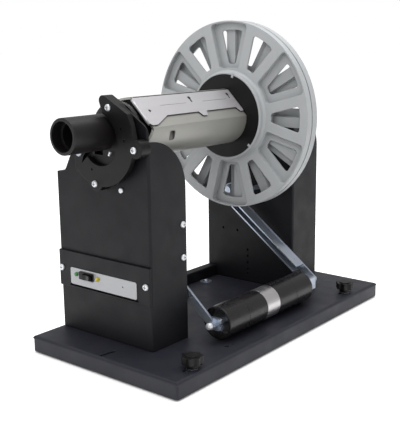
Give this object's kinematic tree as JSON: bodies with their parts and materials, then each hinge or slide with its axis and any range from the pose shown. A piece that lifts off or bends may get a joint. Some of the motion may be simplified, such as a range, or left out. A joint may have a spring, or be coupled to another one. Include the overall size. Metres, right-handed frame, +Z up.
{
  "type": "label rewinder",
  "caption": "Motor-driven bench label rewinder: core mandrel with a spoked flange wheel between two housings, a dancer arm with a roller, and a control panel.",
  "frame": {"origin": "middle of the bounding box, on the bench under the feet", "axes": "+X along the spindle from the control side to the drive side, +Y to the back, +Z up"},
  "size_m": [0.476, 0.272, 0.408],
  "materials": {
    "dark_paint": "fine texture, satin",
    "black_plastic": "satin",
    "tube_black": "satin",
    "mandrel_alloy": "satin",
    "clamp_sheet": "satin",
    "wheel_grey": "satin",
    "zinc": "zinc plated",
    "bright_band": "polished",
    "panel_silver": "brushed",
    "lamp_green": "clear tint",
    "lamp_yellow": "clear tint",
    "board_green": "solder mask",
    "foot_rubber": "matte",
    "sleeve_black": "matte",
    "gear_plastic": "natural",
    "pinion_brass": "machined",
    "motor_steel": "plated"
  },
  "bodies": {
    "frame": {"base_plate": "dark_paint", "rubber_feet": "foot_rubber", "left_housing": "dark_paint", "left_inner_cover": "dark_paint", "control_cover": "dark_paint", "control_panel": "panel_silver", "green_lamp": "lamp_green", "yellow_lamp": "lamp_yellow", "switch_body": "black_plastic", "control_board": "board_green", "board_standoffs": "zinc", "power_inlet": "black_plastic", "rear_rail": "dark_paint", "rail_screws": "zinc", "side_screws": "zinc", "cover_screws": "zinc", "plate_stud": "zinc", "right_housing": "dark_paint", "right_cover": "dark_paint", "right_trim": "black_plastic", "drive_cap": "black_plastic", "drive_bracket": "zinc", "bracket_posts": "zinc", "drive_motor": "motor_steel", "motor_gearbox": "motor_steel", "shaft_bearings": "zinc", "bearing_block_front": "black_plastic", "bearing_block_back": "black_plastic", "block_screws": "zinc", "seat_pin": "zinc", "latch_pin": "zinc", "dancer_pivots": "zinc", "dancer_spring": "zinc", "arm_stop": "zinc", "knob_washers": "zinc", "slot_nuts": "zinc"},
    "spindle": {"drive_shaft": "zinc", "drive_gear": "gear_plastic", "spindle_tube": "tube_black", "end_collar": "black_plastic", "mandrel_body": "mandrel_alloy", "mandrel_end_discs": "black_plastic", "hub_disc": "black_plastic", "wheel_front": "wheel_grey", "wheel_back": "wheel_grey"},
    "clamp": {"clamp_plate": "clamp_sheet", "clamp_posts": "zinc"},
    "pinion": {"motor_pinion": "pinion_brass"},
    "latch": {"spindle_latch": "black_plastic"},
    "dancer": {"dancer_arm_left": "zinc", "dancer_arm_right": "zinc", "arm_end_blocks": "zinc", "arm_bolts": "zinc", "roller_shaft": "zinc"},
    "roller": {"roller_core": "bright_band", "roller_sleeves": "sleeve_black", "roller_bearings": "motor_steel"},
    "rocker": {"switch_rocker": "black_plastic"},
    "front_knob": {"knob_front": "black_plastic"},
    "right_knob": {"knob_right": "black_plastic"}
  },
  "joints": [
    {"name": "spindle_spin", "type": "hinge", "parent": "frame", "child": "spindle", "pos_m": [0, 0.008, 0.28], "axis": [1, 0, 0], "continuous": true},
    {"name": "clamp_slide", "type": "slide", "parent": "spindle", "child": "clamp", "axis": [0, -0.7071, 0.7071], "range_m": [0, 0.0015]},
    {"name": "pinion_spin", "type": "hinge", "parent": "frame", "child": "pinion", "pos_m": [0, 0.008, 0.244], "axis": [1, 0, 0], "continuous": true},
    {"name": "latch_swing", "type": "hinge", "parent": "frame", "child": "latch", "pos_m": [0, 0.05, 0.253], "axis": [1, 0, 0], "range_deg": [-45, 0]},
    {"name": "dancer_swing", "type": "hinge", "parent": "frame", "child": "dancer", "pos_m": [0, 0.049, 0.163], "axis": [1, 0, 0], "range_deg": [-34, 0]},
    {"name": "roller_spin", "type": "hinge", "parent": "dancer", "child": "roller", "pos_m": [0, -0.092, 0.0445], "axis": [1, 0, 0], "continuous": true},
    {"name": "rocker_tip", "type": "hinge", "parent": "frame", "child": "rocker", "pos_m": [-0.1741, 0.04665, 0.09745], "axis": [0, 0, 1], "range_deg": [0, 12]},
    {"name": "front_knob_turn", "type": "hinge", "parent": "frame", "child": "front_knob", "pos_m": [-0.1756, -0.1215, 0.03], "axis": [0, 0, 1], "continuous": true},
    {"name": "right_knob_turn", "type": "hinge", "parent": "frame", "child": "right_knob", "pos_m": [0.169, -0.1205, 0.03], "axis": [0, 0, 1], "continuous": true}
  ],
  "couplings": [
    {"joint": "pinion_spin", "follows": "spindle_spin", "ratio": -3.5}
  ]
}
